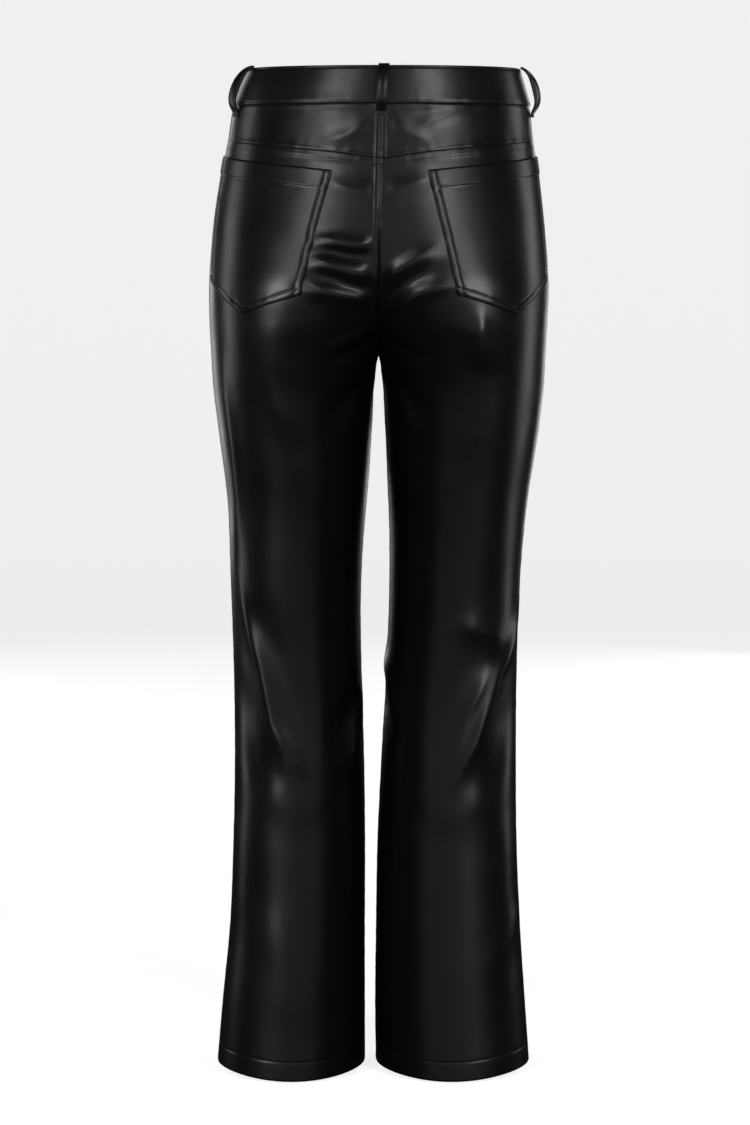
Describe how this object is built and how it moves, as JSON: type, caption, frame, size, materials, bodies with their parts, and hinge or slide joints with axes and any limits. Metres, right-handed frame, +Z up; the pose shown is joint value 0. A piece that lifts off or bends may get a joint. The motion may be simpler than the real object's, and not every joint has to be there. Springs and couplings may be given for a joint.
{
  "type": "faux leather trousers",
  "caption": "High-waisted straight-leg trousers in black faux leather, shown from the back and filled out as worn.",
  "frame": {"origin": "middle of the waist opening, at half the waistband's height", "axes": "+Z up to the waist, -Y to the front of the wearer, +X to the wearer's left"},
  "size_m": [0.3461, 0.2485, 1.0351],
  "materials": {
    "faux_leather": "satin black coated cloth with a fine grain",
    "zip_tape": "matt black woven tape with a dark metal chain",
    "button_metal": "dark gunmetal"
  },
  "bodies": {
    "root": {"waistband": "faux_leather", "yoke_left": "faux_leather", "yoke_right": "faux_leather", "back_left": "faux_leather", "back_right": "faux_leather", "front_left": "faux_leather", "front_right": "faux_leather", "pocket_left": "faux_leather", "pocket_right": "faux_leather", "loop_centre_back": "faux_leather", "loop_side_left": "faux_leather", "loop_side_right": "faux_leather", "loop_front_left": "faux_leather", "loop_front_right": "faux_leather", "button": "button_metal", "zip": "zip_tape"}
  },
  "joints": []
}
